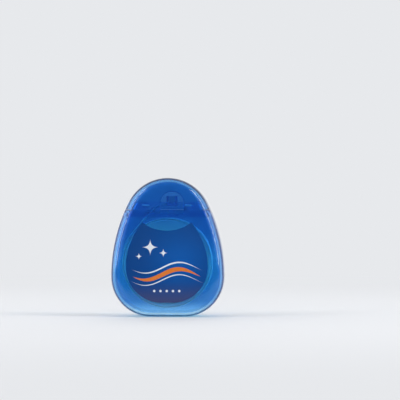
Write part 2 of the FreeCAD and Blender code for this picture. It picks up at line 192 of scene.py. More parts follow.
def makeGrainGroup():
    # height of a moulded or drawn grain: a slow wave, and a share of fine noise on top of it
    group, start, end = newGroup(
        "mouldGrain",
        [("Vector", "NodeSocketVector", None), ("Scale", "NodeSocketFloat", 4000.0)],
        [("Height", "NodeSocketFloat")])
    vector, scale = start.outputs["Vector"], start.outputs["Scale"]
    fine = noiseIn(group, vector, scale, detail=5.0, roughness=0.6)
    waveScale = mathNode(group, "MULTIPLY", scale, grainLook["waveScale"])
    wave = noiseIn(group, vector, waveScale, detail=1.0, roughness=0.4)
    height = mathNode(group, "ADD", mathNode(group, "MULTIPLY", fine, grainLook["fineShare"]), wave)
    joinSockets(group, (height, end.inputs["Height"]))
    return group


marksGroup = makeMarksGroup()
driftGroup = makeDriftGroup()
grainGroup = makeGrainGroup()
print("shared effects built")


# clear coloured plastic of the case and lid

plasticLook = {
    "caseTint": (0.085, 0.425, 0.780), "caseTintDeep": (0.070, 0.395, 0.750),
    "paintedShoulderShade": (0.048, 0.280, 0.655),      # painted shade, deeper beside the neck and in it
    "shoulderHeight": (0.018, 0.032), "shoulderWidth": (0.0040, 0.0090), "neckHeight": (0.0285, 0.0360),
    "paintedRimTint": (0.285, 0.490, 0.970), "rimTurn": (0.72, 0.20),      # painted light, paler round the rim
    # painted light: the foot palest
    "paintedFootLight": (0.410, 0.730, 1.000), "footHeight": (0.0060, 0.0012),
    "lidTint": (0.068, 0.315, 0.680), "lidTintDeep": (0.054, 0.290, 0.650),
    # painted light: paler round the lid's rim
    "lidPaintedRimLight": (0.220, 0.500, 0.950),
    "paintedCrownShade": (0.022, 0.165, 0.450), "crownTurn": (0.35, 0.75),      # painted shade, deeper again along the very top
    # what one face lets through of the lamps' direct light
    "lampTint": (0.70, 0.93, 0.97), "lidLampTint": (0.97, 0.90, 0.98),
    "clearness": 0.94, "ior": 1.47, "roughness": 0.055, "markRoughness": 0.16,
    "driftScale": 90.0, "marksScale": 420.0, "grainScale": 1500.0, "bump": 0.5, "bumpDepth": 0.000012,
}


def passLamps(tree, shader, tint):
    # lamps' direct light goes through the plastic tinted, so that what is inside is lit
    lampFilter = addNode(tree, "ShaderNodeBsdfTransparent")
    lampFilter.inputs[0].default_value = (*tint, 1)
    mix = addNode(tree, "ShaderNodeMixShader")
    rays = addNode(tree, "ShaderNodeLightPath")
    joinSockets(tree, (rays.outputs["Is Shadow Ray"], mix.inputs[0]), (shader.outputs[0], mix.inputs[1]),
                (lampFilter.outputs[0], mix.inputs[2]))
    joinSockets(tree, (mix.outputs[0], tree.get_output_node("ALL").inputs[0]))


def turnMask(tree, coords, axis, limits, signed=False):
    # how far the surface faces along an axis of its own, between two limits
    facing = splitAxes(tree, coords.outputs["Normal"])
    turn = facing[axis] if signed else mathNode(tree, "ABSOLUTE", facing[axis])
    return rangeMask(tree, turn, limits)


def paintLidLightAndShade(tree, coords, colour):
    # painted light paler where the wall turns away at the sides, painted shade deeper where it turns up at
    # the crown
    look = plasticLook
    paintedRimTint = mixColours(tree, turnMask(tree, coords, 2, look["crownTurn"], signed=True),
                         look["lidPaintedRimLight"], look["paintedCrownShade"])
    return mixColours(tree, turnMask(tree, coords, 1, look["rimTurn"]), colour, paintedRimTint)


def paintCaseLightAndShade(tree, coords, colour):
    # painted shade deeper on both flanks and in the neck under the lid, painted light paler where the wall
    # turns away at the rim, palest at the foot
    look = plasticLook
    place = splitAxes(tree, coords.outputs["Object"])
    flank = rangeMask(tree, mathNode(tree, "ABSOLUTE", place["X"]), look["shoulderWidth"])
    z = place["Z"]
    # painted shade on the flanks and in the neck
    shoulder = mathNode(tree, "MULTIPLY", flank, rangeMask(tree, z, look["shoulderHeight"]))
    shoulder = mathNode(tree, "MAXIMUM", shoulder, rangeMask(tree, z, look["neckHeight"]))
    colour = mixColours(tree, shoulder, colour, look["paintedShoulderShade"])
    colour = mixColours(tree, turnMask(tree, coords, 1, look["rimTurn"]), colour, look["paintedRimTint"])
    return mixColours(tree, rangeMask(tree, z, look["footHeight"]), colour, look["paintedFootLight"])


def makeClearPlastic(name, tint, tintDeep, lampTint, shade):
    # glass of a drifting tint that painted shade deepens or painted light pales by place, rougher along the
    # handling marks
    material, tree, shader = newMaterial(name)
    look = plasticLook
    coordsNode = addNode(tree, "ShaderNodeTexCoord")
    coords = coordsNode.outputs["Object"]
    drift = placeGroup(tree, driftGroup, coords, Scale=look["driftScale"])
    marks = placeGroup(tree, marksGroup, coords, Scale=look["marksScale"], Strength=1.0)
    grain = placeGroup(tree, grainGroup, coords, Scale=look["grainScale"])
    colour = shade(tree, coordsNode, mixColours(tree, drift, tint, tintDeep))
    roughness = mathNode(tree, "MULTIPLY_ADD", marks, look["markRoughness"], look["roughness"])
    finishSurface(tree, shader, colour, roughness, grain, look)
    setInputs(shader, Transmission_Weight=look["clearness"], IOR=look["ior"])
    passLamps(tree, shader, lampTint)
    return material


# clear pale blue plastic of the insert

insertLook = {"tint": (0.300, 0.620, 0.920), "tintPale": (0.340, 0.660, 0.940),
              "paintedDeckShade": (0.220, 0.540, 0.880), "deckHeight": (0.0395, 0.0360),      # painted shade, deeper down in the deck
              # painted shade: deeper up in the tower, where its window looks into shadow
              "paintedTowerShade": (0.120, 0.380, 0.800), "towerHeight": (0.0400, 0.0408),
              "lampTint": (0.70, 0.92, 0.97), "clearness": 0.96, "ior": 1.49,
              "roughness": 0.06, "markRoughness": 0.10, "marksStrength": 0.5,
              "driftScale": 260.0, "marksScale": 900.0, "grainScale": 5200.0,
              "bump": 0.4, "bumpDepth": 0.000012}


def makeInsertPlastic():
    # glass of a drifting pale tint, with painted shade deeper down in the deck and up in the tower
    material, tree, shader = newMaterial("insertPlastic")
    look = insertLook
    coords = addNode(tree, "ShaderNodeTexCoord").outputs["Object"]
    drift = placeGroup(tree, driftGroup, coords, Scale=look["driftScale"])
    grain = placeGroup(tree, grainGroup, coords, Scale=look["grainScale"])
    marks = placeGroup(tree, marksGroup, coords, Scale=look["marksScale"], Strength=look["marksStrength"])
    z = splitAxes(tree, coords)["Z"]
    colour = mixColours(tree, drift, look["tint"], look["tintPale"])
    colour = mixColours(tree, rangeMask(tree, z, look["deckHeight"]), colour, look["paintedDeckShade"])
    colour = mixColours(tree, rangeMask(tree, z, look["towerHeight"]), colour, look["paintedTowerShade"])
    roughness = mathNode(tree, "MULTIPLY_ADD", marks, look["markRoughness"], look["roughness"])
    finishSurface(tree, shader, colour, roughness, grain, look)
    setInputs(shader, Transmission_Weight=look["clearness"], IOR=look["ior"])
    passLamps(tree, shader, look["lampTint"])
    return material


# the insert's two snap bars, painted white as a highlight on them

snapBars = {"middle": 7.5, "height": 39.3, "depth": -6.313, "halfLength": 1.10, "radius": 0.25, "around": 24,
            "bendFrom": 0.1, "bendSteps": 7,
            # painted highlight: the bars' pale tones
            "tint": (0.75, 0.90, 0.98), "tintPale": (0.86, 0.95, 0.99),
            "roughness": 0.42, "highlightDriftRoughness": 0.2, "highlightDriftScale": 1500.0, "grainScale": 6000.0,
            "bump": 0.4, "bumpDepth": 0.00001}


def makeBarHighlightPlastic():
    # white with a painted highlight, paler and rougher together by one drift
    material, tree, shader = newMaterial("barHighlightPlastic")
    look = snapBars
    coords = addNode(tree, "ShaderNodeTexCoord").outputs["Object"]
    highlightDrift = placeGroup(tree, driftGroup, coords, Scale=look["highlightDriftScale"])
    grain = placeGroup(tree, grainGroup, coords, Scale=look["grainScale"])
    colour = mixColours(tree, highlightDrift, look["tint"], look["tintPale"])
    roughness = mathNode(tree, "MULTIPLY_ADD", highlightDrift, look["highlightDriftRoughness"], look["roughness"])
    finishSurface(tree, shader, colour, roughness, grain, look)
    return material


# stamped steel of the blade

steelLook = {"pale": (0.87, 0.82, 0.89), "dark": (0.75, 0.70, 0.77), "platePolish": 0.40,
             "roughness": 0.42, "lineRoughness": 0.22, "markRoughness": 0.15,
             # the tongue's cutting face: its colour a painted shade with a painted blue reflection
             "tongueShade": (0.27, 0.38, 0.56), "groundRoughness": -0.08, "groundPolish": 0.9,
             "tongueFront": (-0.00233, -0.00250),
             "grainStretch": 14.0, "lineScale": 900.0, "driftScale": 300.0, "marksScale": 1400.0,
             "bump": 0.35, "bumpDepth": 0.00001}


def makeSteel():
    # the plate is tumbled dull with drawn lines across it, and the tongue that leans out in front is ground,
    # its colour painted shade
    material, tree, shader = newMaterial("bladeSteel")
    look = steelLook
    coords = addNode(tree, "ShaderNodeTexCoord").outputs["Object"]
    mapping = addNode(tree, "ShaderNodeMapping")
    mapping.inputs["Scale"].default_value = (1, 1, look["grainStretch"])
    joinSockets(tree, (coords, mapping.inputs["Vector"]))
    lines = placeGroup(tree, driftGroup, mapping.outputs[0], Scale=look["lineScale"])
    drift = placeGroup(tree, driftGroup, coords, Scale=look["driftScale"])
    marks = placeGroup(tree, marksGroup, coords, Scale=look["marksScale"], Strength=1.0)
    tongue = rangeMask(tree, splitAxes(tree, coords)["Y"], look["tongueFront"])
    colour = mixColours(tree, drift, look["pale"], look["dark"])
    # painted shade and painted blue reflection on the tongue
    colour = mixColours(tree, tongue, colour, look["tongueShade"])
    rough = mathNode(tree, "MULTIPLY_ADD", lines, look["lineRoughness"], look["roughness"])
    rough = mathNode(tree, "MULTIPLY_ADD", marks, look["markRoughness"], rough)
    rough = mathNode(tree, "MULTIPLY_ADD", tongue, look["groundRoughness"], rough)
    gain = look["groundPolish"] - look["platePolish"]
    metal = mathNode(tree, "MULTIPLY_ADD", tongue, gain, look["platePolish"])
    finishSurface(tree, shader, colour, rough, lines, look)
    joinSockets(tree, (metal, shader.inputs["Metallic"]))
    return material


# natural white plastic of the bobbin core

coreLook = {"tint": (0.80, 0.82, 0.82), "tintWarm": (0.74, 0.75, 0.72),
            "roughness": 0.42, "driftRoughness": 0.12, "glowShare": 0.3, "glowDepth": 0.001,
            "driftScale": 350.0, "grainScale": 6000.0,
            "bump": 0.4, "bumpDepth": 0.00002}


def makeCorePlastic():
    # milky plastic, warmer and rougher together by one drift, with light seeping in a little way
    material, tree, shader = newMaterial("corePlastic")
    look = coreLook
    coords = addNode(tree, "ShaderNodeTexCoord").outputs["Object"]
    drift = placeGroup(tree, driftGroup, coords, Scale=look["driftScale"])
    grain = placeGroup(tree, grainGroup, coords, Scale=look["grainScale"])
    colour = mixColours(tree, drift, look["tint"], look["tintWarm"])
    roughness = mathNode(tree, "MULTIPLY_ADD", drift, look["driftRoughness"], look["roughness"])
    finishSurface(tree, shader, colour, roughness, grain, look)
    setInputs(shader, Subsurface_Weight=look["glowShare"], Subsurface_Scale=look["glowDepth"])
    return material


# waxed floss: fine filaments along the strand, read from the UV map

flossLook = {"pale": (0.94, 0.96, 0.98), "shade": (0.85, 0.89, 0.92),
             "strandPale": (0.70, 0.76, 0.79), "strandShade": (0.58, 0.65, 0.69),      # one strand alone: a darker copy of the floss, painted shade
             "filamentTwist": 0.35, "filamentDrift": 1.4,      # the pattern's shift along a mm, and by drift
             "driftTone": 0.5, "threadTone": 0.4, "driftScale": 1600.0,
             "roughness": 0.46, "threadRoughness": -0.1, "bump": 0.5, "bumpDepth": 0.00003,
             "sheen": 0.2, "sheenRoughness": 0.4, "glowShare": 0.2, "glowDepth": 0.0006}


def makeFloss(name, pale, shade):
    # filaments are a sine of the map's across plus a twist along it, and drift unsettles both
    material, tree, shader = newMaterial(name)
    look = flossLook
    coords = addNode(tree, "ShaderNodeTexCoord")
    strandMap = splitAxes(tree, coords.outputs["UV"])
    drift = placeGroup(tree, driftGroup, coords.outputs["Object"], Scale=look["driftScale"])
    phase = mathNode(tree, "MULTIPLY_ADD", strandMap["X"], look["filamentTwist"], strandMap["Y"])
    phase = mathNode(tree, "MULTIPLY_ADD", drift, look["filamentDrift"], phase)
    wave = mathNode(tree, "SINE", mathNode(tree, "MULTIPLY", phase, 2 * math.pi))
    thread = mathNode(tree, "MULTIPLY_ADD", wave, 0.5, 0.5)
    tone = mathNode(tree, "MULTIPLY", thread, look["threadTone"])
    tone = mathNode(tree, "MULTIPLY_ADD", drift, look["driftTone"], tone, clamp=True)
    colour = mixColours(tree, tone, shade, pale)
    roughness = mathNode(tree, "MULTIPLY_ADD", thread, look["threadRoughness"], look["roughness"])
    finishSurface(tree, shader, colour, roughness, thread, look)
    setInputs(shader, Sheen_Weight=look["sheen"], Sheen_Roughness=look["sheenRoughness"],
              Subsurface_Weight=look["glowShare"], Subsurface_Scale=look["glowDepth"])
    return material


# printed film of the label: night blue with a lighter heart, waves, sparkles and dots, in metres

labelLook = {
    "night": (0.003, 0.050, 0.215), "heart": (0.003, 0.098, 0.405), "dusk": (0.040, 0.028, 0.090),
    "white": (0.74, 0.78, 0.84), "orange": (0.72, 0.19, 0.035),
    "heartPlace": (0.0045, 0.0200), "heartSize": 0.0130,
    "duskTop": 0.0125, "duskFall": 0.0085, "duskShare": 0.75, "driftShare": 0.22,
    "wave": {"height": 0.0150, "rise": 0.0019, "stretch": 260.0, "phase": 0.4, "reach": 0.0118},
    "bandWidth": 0.00085, "lineWidth": 0.00028, "lineGap": 0.0024,
    "fineWidth": 0.7, "fineGap": 0.8,      # of the line under the band, as shares of the upper one's
    "sparkles": ((-0.0058, 0.0246, 0.0030), (-0.0012, 0.0226, 0.0016), (-0.0098, 0.0214, 0.0013)),
    "dots": {"count": 5, "gap": 0.0022, "height": 0.0092, "radius": 0.00042},
    "softness": 0.00010, "roughness": 0.16, "markRoughness": 0.18, "marksStrength": 0.8,
    "driftScale": 180.0, "marksScale": 520.0, "grainScale": 2500.0, "grainHeight": 0.4,
    "bump": 0.4, "bumpDepth": 0.00001,
}


def edgeMask(tree, inside):
    # 1 where the signed distance is well inside, 0 outside, with a narrow soft edge
    scaled = mathNode(tree, "DIVIDE", inside, labelLook["softness"])
    return mathNode(tree, "ADD", scaled, 0.5, clamp=True)


def squareSum(tree, first, second):
    # first squared plus second squared
    return mathNode(tree, "ADD", mathNode(tree, "MULTIPLY", first, first),
                    mathNode(tree, "MULTIPLY", second, second))


def waveMask(tree, x, z, lift, width):
    # band round the line z = height + lift + rise sin(stretch x + phase), its width tapering to both ends
    wave = labelLook["wave"]
    angle = mathNode(tree, "MULTIPLY_ADD", x, wave["stretch"], wave["phase"])
    line = mathNode(tree, "MULTIPLY_ADD", mathNode(tree, "SINE", angle), wave["rise"], wave["height"] + lift)
    off = mathNode(tree, "ABSOLUTE", mathNode(tree, "SUBTRACT", z, line))
    share = mathNode(tree, "DIVIDE", x, wave["reach"])
    taper = mathNode(tree, "SUBTRACT", 1.0, mathNode(tree, "MULTIPLY", share, share))
    return edgeMask(tree, mathNode(tree, "SUBTRACT", mathNode(tree, "MULTIPLY", taper, width), off))


def sparkleMask(tree, x, z, centreX, centreZ, size):
    # four-pointed star: sqrt|x| + sqrt|z| below sqrt(size)
    parts = []
    for value, centre in ((x, centreX), (z, centreZ)):
        off = mathNode(tree, "ABSOLUTE", mathNode(tree, "SUBTRACT", value, centre))
        parts.append(mathNode(tree, "SQRT", off))
    reach = mathNode(tree, "POWER", mathNode(tree, "ADD", *parts), 2.0)
    return edgeMask(tree, mathNode(tree, "SUBTRACT", size, reach))


def dotMask(tree, x, z, centreX, centreZ, radius):
    # round dot: distance from its centre below the radius
    dx = mathNode(tree, "SUBTRACT", x, centreX)
    dz = mathNode(tree, "SUBTRACT", z, centreZ)
    distance = mathNode(tree, "SQRT", squareSum(tree, dx, dz))
    return edgeMask(tree, mathNode(tree, "SUBTRACT", radius, distance))


def paintGround(tree, coords, x, z):
    # night to heart by 1 / (1 + distance squared) squared, dusk towards the foot, some night back by drift
    look = labelLook
    away = []
    for value, middle in zip((x, z), look["heartPlace"]):
        away.append(mathNode(tree, "DIVIDE", mathNode(tree, "SUBTRACT", value, middle), look["heartSize"]))
    heart = mathNode(tree, "POWER", mathNode(tree, "ADD", squareSum(tree, *away), 1.0), -2.0)
    low = mathNode(tree, "SUBTRACT", look["duskTop"], z)
    low = mathNode(tree, "DIVIDE", low, look["duskFall"], clamp=True)
    colour = mixColours(tree, heart, look["night"], look["heart"])
    colour = mixColours(tree, mathNode(tree, "MULTIPLY", low, look["duskShare"]), colour, look["dusk"])
    drift = placeGroup(tree, driftGroup, coords, Scale=look["driftScale"])
    share = mathNode(tree, "MULTIPLY", drift, look["driftShare"])
    return mixColours(tree, share, colour, look["night"])


def makeLabelFilm():
    # ground, white motifs over it, the orange band over all, and the ink standing a little above the film
    material, tree, shader = newMaterial("labelFilm")
    look = labelLook
    coords = addNode(tree, "ShaderNodeTexCoord").outputs["Object"]
    place = splitAxes(tree, coords)
    x, z = place["X"], place["Z"]
    band = waveMask(tree, x, z, 0.0, look["bandWidth"])
    line = waveMask(tree, x, z, look["lineGap"], look["lineWidth"])
    fine = waveMask(tree, x, z, -look["lineGap"] * look["fineGap"], look["lineWidth"] * look["fineWidth"])
    white = mathNode(tree, "MAXIMUM", line, fine)
    for sparkle in look["sparkles"]:
        white = mathNode(tree, "MAXIMUM", white, sparkleMask(tree, x, z, *sparkle))
    dots = look["dots"]
    for count in range(dots["count"]):
        centre = (count - (dots["count"] - 1) / 2) * dots["gap"]
        white = mathNode(tree, "MAXIMUM", white, dotMask(tree, x, z, centre, dots["height"], dots["radius"]))
    colour = mixColours(tree, white, paintGround(tree, coords, x, z), look["white"])
    colour = mixColours(tree, band, colour, look["orange"])
    marks = placeGroup(tree, marksGroup, coords, Scale=look["marksScale"], Strength=look["marksStrength"])
    roughness = mathNode(tree, "MULTIPLY_ADD", marks, look["markRoughness"], look["roughness"])
    grain = placeGroup(tree, grainGroup, coords, Scale=look["grainScale"])
    ink = mathNode(tree, "MAXIMUM", white, band)
    height = mathNode(tree, "MULTIPLY_ADD", grain, look["grainHeight"], ink)
    finishSurface(tree, shader, colour, roughness, height, look)
    return material


caseMaterial = makeClearPlastic("casePlastic", plasticLook["caseTint"], plasticLook["caseTintDeep"],
                                plasticLook["lampTint"], paintCaseLightAndShade)
lidMaterial = makeClearPlastic("lidPlastic", plasticLook["lidTint"], plasticLook["lidTintDeep"],
                               plasticLook["lidLampTint"], paintLidLightAndShade)
insertMaterial = makeInsertPlastic()
barHighlightMaterial = makeBarHighlightPlastic()
steelMaterial = makeSteel()
coreMaterial = makeCorePlastic()
flossMaterial = makeFloss("waxedFloss", flossLook["pale"], flossLook["shade"])
# the lone strand: the floss darkened, painted shade
strandMaterial = makeFloss("waxedStrand", flossLook["strandPale"], flossLook["strandShade"])
labelMaterial = makeLabelFilm()
print("materials built")


def giveMaterial(piece, material):
    piece.data.materials.clear()
    piece.data.materials.append(material)


nodeMaterials = {
    "front_shell": caseMaterial, "rear_shell": caseMaterial, "flip_lid": lidMaterial,
    "cutter_insert": insertMaterial, "cutter_blade": steelMaterial, "spool_core": coreMaterial,
    "floss_winding": flossMaterial, "floss_outer_turns": flossMaterial, "floss_lead": strandMaterial,
    "front_label": labelMaterial,
}
for nodeName, material in nodeMaterials.items():
    giveMaterial(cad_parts[nodeName], material)


# surfaces from grids of points

def gridPiece(name, points, uv, material, body, closedAlong=False, poles=None):
    # points[i, j] runs along by i and round by j, always closed round; uv has one more row and column where
    # it closes; poles are the two end points of a piece that isn't closed along
    along, around = points.shape[:2]
    rows = along if closedAlong else along - 1
    i, j = np.meshgrid(np.arange(rows), np.arange(around), indexing="ij")
    iNext, jNext = (i + 1) % along, (j + 1) % around
    ends = [i * around + j, i * around + jNext, iNext * around + jNext, iNext * around + j]
    quads = np.stack(ends, axis=-1).reshape(-1, 4)
    corners = [uv[i, j], uv[i, j + 1], uv[i + 1, j + 1], uv[i + 1, j]]
    loopUv = [np.stack(corners, axis=2).reshape(-1, 2)]
    vertices = points.reshape(-1, 3)
    # outward test: the signed volume of the swept body, turned round where it is negative
    a, b, c, d = (vertices[quads[:, k]] for k in range(4))
    volume = np.einsum("ij,ij->i", a, np.cross(b, c)).sum() + np.einsum("ij,ij->i", a, np.cross(c, d)).sum()
    faces = quads.tolist()
    if poles is not None:
        ring = np.arange(around)
        ringNext = (ring + 1) % around
        first = np.stack([np.full(around, len(vertices)), ringNext, ring], axis=1)
        last = np.stack([np.full(around, len(vertices) + 1), ring + (along - 1) * around,
                         ringNext + (along - 1) * around], axis=1)
        vertices = np.concatenate([vertices, poles])
        faces += first.tolist() + last.tolist()
        loopUv.append(np.stack([uv[0, ring], uv[0, ring + 1], uv[0, ring]], axis=1).reshape(-1, 2))
        loopUv.append(np.stack([uv[-1, ring], uv[-1, ring], uv[-1, ring + 1]], axis=1).reshape(-1, 2))
    mesh = bpy.data.meshes.new(name)
    mesh.from_pydata(vertices.tolist(), [], faces)
    layer = mesh.uv_layers.new(name="strandMap")
    layer.data.foreach_set("uv", np.concatenate(loopUv).astype(np.float32).ravel())
    if volume < 0:
        mesh.flip_normals()
    mesh.polygons.foreach_set("use_smooth", np.ones(len(faces), bool))
    mesh.update()
    piece = bpy.data.objects.new(name, mesh)
    bpy.context.scene.collection.objects.link(piece)
    giveMaterial(piece, material)
    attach(piece, body)
    print(name, len(mesh.polygons), "faces")
    return piece


def smoothNoise(count, waves, seed):
    # sum of a few sines with seeded phases, running once round the whole range
    rng = np.random.default_rng(seed)
    place = np.linspace(0, 2 * math.pi, count, endpoint=False)
    total = np.zeros(count)
    for wave in waves:
        total += rng.uniform(0.5, 1.0) * np.sin(wave * place + rng.uniform(0, 2 * math.pi))
    return total / len(waves)


spool = {"centreZ": 18.95, "bore": 6.2, "radius": 15.42, "halfWidth": 5.5, "corner": 0.8}      # in mm


def aroundSpool(radius, angle, y):
    # point at a radius and an angle about the spool's axis, in metres
    z = spool["centreZ"] + radius * np.sin(angle)
    return np.stack([radius * np.cos(angle), y + 0 * radius, z], axis=-1) * mm


# wound body of floss: every layer shows on the side faces as one spiral ridge

winding = {"angles": 256, "across": 86, "bend": 7,
           "ridges": 17, "perRidge": 6, "ridgeHeight": 0.15, "sideInset": 0.16,
           "wander": (0.16, 0.9), "swell": (0.85, 0.3, 1.7),
           "boreGap": 0.06, "boreEdge": 0.4, "boreInset": 0.5, "boreRows": 4,
           "cornerTrim": 0.1, "cornerGap": 0.06,
           "outerRidges": 17, "outerHeight": 0.14, "outerInset": 0.04,
           "mapRadius": 11, "mapWidth": 0.11}      # the UV map's unit is one filament across, one mm along


def makeWinding():
    # profile in radius and y, carried round the axis: side faces are ridged by abs(sin) of the radius, the
    # phase running on by one ridge a turn, so that the ridges are one spiral; the outer face is ridged alike
    # across y, under the outer turns
    look = winding
    angle = np.linspace(0, 2 * math.pi, look["angles"], endpoint=False)
    turns = angle[:, None] / (2 * math.pi)
    inner, outer = spool["bore"] + look["boreGap"], spool["radius"] - spool["corner"]
    radii = np.linspace(inner, outer, look["ridges"] * look["perRidge"])[None, :]
    bend = np.linspace(0, math.pi / 2, look["bend"])[1:-1]
    across = np.linspace(-1, 1, look["across"])[None, :]
    wander = smoothNoise(look["angles"], waves=(1, 2, 3, 5), seed=4)[:, None]
    depth = smoothNoise(look["angles"], waves=(2, 3, 7, 11), seed=9)[:, None]
    boreSide = spool["halfWidth"] - look["boreInset"]
    sides = []
    for sign in (-1, 1):
        phase = (radii - inner) / (outer - inner) * look["ridges"] - sign * turns
        phase = phase + look["wander"][0] * wander * np.sin(radii * look["wander"][1])
        swell = look["swell"][0] + look["swell"][1] * depth * np.cos(radii * look["swell"][2] + sign)
        groove = look["ridgeHeight"] * swell * (1 - np.abs(np.sin(math.pi * phase)))
        y = spool["halfWidth"] - look["sideInset"] - groove
        edge = np.clip((radii - inner) / look["boreEdge"], 0, 1)
        sides.append((radii + 0 * y, sign * (y * edge + boreSide * (1 - edge))))
    # corners run from the side face to the outer face
    reach = spool["corner"] - look["cornerTrim"]
    full = np.ones((look["angles"], 1))
    cornerRadius = (outer + look["cornerGap"] + reach * np.sin(bend))[None, :] * full
    cornerY = -(spool["halfWidth"] - look["sideInset"] - reach * (1 - np.cos(bend)))[None, :] * full
    lay = look["outerRidges"] * (across * 0.5 + 0.5) + turns
    groove = look["outerHeight"] * (1 - np.abs(np.sin(math.pi * lay)))
    outerRadius = spool["radius"] - look["outerInset"] - groove
    outerY = across * (spool["halfWidth"] - spool["corner"]) + 0 * outerRadius
    boreY = np.linspace(boreSide, -boreSide, look["boreRows"])[None, 1:-1] * full
    radius = np.concatenate([sides[0][0], cornerRadius, outerRadius, cornerRadius[:, ::-1],
                             sides[1][0][:, ::-1], inner + 0 * boreY], axis=1)
    y = np.concatenate([sides[0][1], cornerY, outerY, -cornerY[:, ::-1], sides[1][1][:, ::-1], boreY], axis=1)
    points = aroundSpool(radius, angle[:, None], y)
    run = np.cumsum(np.hypot(np.diff(radius[0]), np.diff(y[0])))
    length = np.concatenate([[0], run, [run[-1] + look["boreInset"]]]) / look["mapWidth"]
    uv = np.zeros((look["angles"] + 1, points.shape[1] + 1, 2))
    uv[..., 0] = np.linspace(0, 2 * math.pi * look["mapRadius"], look["angles"] + 1)[:, None]
    uv[..., 1] = np.round(length[None, :], 3)
    piece = gridPiece("flossWinding", points, uv, flossMaterial, "bobbin", closedAlong=True)
    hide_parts("floss_winding")


# strands: a lobed oval carried along a path, the lobes turning as the filaments do

strand = {"filaments": 7, "filamentDepth": 0.07, "around": 21, "twistPitch": 9.0, "mapAcross": 14,
          "endSteps": 6, "endFrom": 0.12}


def sweepStrand(path, sideways, outwards, halfWidth, halfHeight):
    # cross-section: halfWidth cos a sideways and halfHeight sin a outwards, swelled by cos of filaments times
    # a less the twist; path and frames are arrays in mm, one row a station
    run = np.concatenate([[0], np.cumsum(np.linalg.norm(np.diff(path, axis=0), axis=1))])
    angle = np.linspace(0, 2 * math.pi, strand["around"], endpoint=False)[None, :]
    twist = 2 * math.pi * run[:, None] / strand["twistPitch"]
    swell = 1 + strand["filamentDepth"] * (np.cos(strand["filaments"] * (angle - twist)) - 1)
    taper = roundedEnds(len(path))
    wide = (taper * halfWidth)[:, None] * swell * np.cos(angle)
    high = (taper * halfHeight)[:, None] * swell * np.sin(angle)
    points = path[:, None] + wide[..., None] * sideways[:, None] + high[..., None] * outwards[:, None]
    uv = np.zeros((len(path), strand["around"] + 1, 2))
    uv[..., 0] = run[:, None]
    uv[..., 1] = np.linspace(0, strand["mapAcross"], strand["around"] + 1)[None, :]
    return points * mm, uv, path[[0, -1]] * mm


def roundedEnds(count):
    # from almost 0 at both ends to 1 as a quarter of a sine over a few stations
    steps = strand["endSteps"]
    rise = np.sin(np.linspace(strand["endFrom"], 1, steps) * math.pi / 2)
    taper = np.ones(count)
    taper[:steps] = rise
    taper[-steps:] = rise[::-1]
    return taper


outerTurns = {"turns": 17, "radius": 15.66, "halfWidth": 0.31, "halfHeight": 0.22, "reach": 5.05,
              "perTurn": 112, "sideWander": 0.05, "radiusWander": 0.035, "tuck": 0.25, "tuckAngle": 0.25}


def makeOuterTurns():
    # one unbroken helix on the wound body: y runs evenly with the angle, both wander a little, and either end
    # is tucked in towards the axis
    look = outerTurns
    count = look["turns"] * look["perTurn"]
    angle = np.linspace(0, 2 * math.pi * look["turns"], count)
    y = np.linspace(-look["reach"], look["reach"], count)
    y = y + look["sideWander"] * smoothNoise(count, waves=(7, 16, 23, 38), seed=21)
    radius = look["radius"] + look["radiusWander"] * smoothNoise(count, waves=(9, 19, 31, 44), seed=5)
    for away in (angle, angle[-1] - angle):
        radius = radius - look["tuck"] * np.exp(-away / look["tuckAngle"])
    path = np.stack([radius * np.cos(angle), y, spool["centreZ"] + radius * np.sin(angle)], axis=1)
    outwards = np.stack([np.cos(angle), 0 * angle, np.sin(angle)], axis=1)
    sideways = np.tile((0.0, 1.0, 0.0), (count, 1))
    points, uv, poles = sweepStrand(path, sideways, outwards, look["halfWidth"], look["halfHeight"])
    piece = gridPiece("flossOuterTurns", points, uv, flossMaterial, "bobbin", poles=poles)
    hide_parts("floss_outer_turns")


# the strand in use: off the wound body, up through the guide hole, across the front of the tower to the blade

lead = {"route": ((-15.71, 23.22), (-15.22, 25.01), (-13.65, 28.40),
                  (-6.0, 37.15), (-2.4, 39.9), (1.8, 40.7)),
        "y": -2.65, "halfWidth": 0.25, "halfHeight": 0.235, "resolution": 40}


def splinePath(route, resolution):
    # points along the NURBS spline that has the route as its control points, in the route's own units
    curve = bpy.data.curves.new("route", "CURVE")
    curve.dimensions = "3D"
    curve.resolution_u = resolution
    spline = curve.splines.new("NURBS")
    spline.points.add(len(route) - 1)
    spline.points.foreach_set("co", [value for point in route for value in (*point, 1.0)])
    spline.order_u = 3
    spline.use_endpoint_u = True
    holder = bpy.data.objects.new("route", curve)
    mesh = bpy.data.meshes.new_from_object(holder)
    path = np.empty(len(mesh.vertices) * 3)
    mesh.vertices.foreach_get("co", path)
    bpy.data.objects.remove(holder)
    bpy.data.meshes.remove(mesh)
    bpy.data.curves.remove(curve)
    return path.reshape(-1, 3)


def makeLead():
    # the strand's cross-section carried along the route's spline, which hugs the outer turns before it leaves
    look = lead
    path = splinePath([(x, look["y"], z) for x, z in look["route"]], look["resolution"])
    ahead = np.gradient(path, axis=0)
    ahead /= np.linalg.norm(ahead, axis=1)[:, None]
    sideways = np.tile((0.0, 1.0, 0.0), (len(path), 1))
    outwards = np.cross(ahead, sideways)
    points, uv, poles = sweepStrand(path, sideways, outwards, look["halfWidth"], look["halfHeight"])
    piece = gridPiece("flossLead", points, uv, strandMaterial, "case", poles=poles)
    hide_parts("floss_lead")


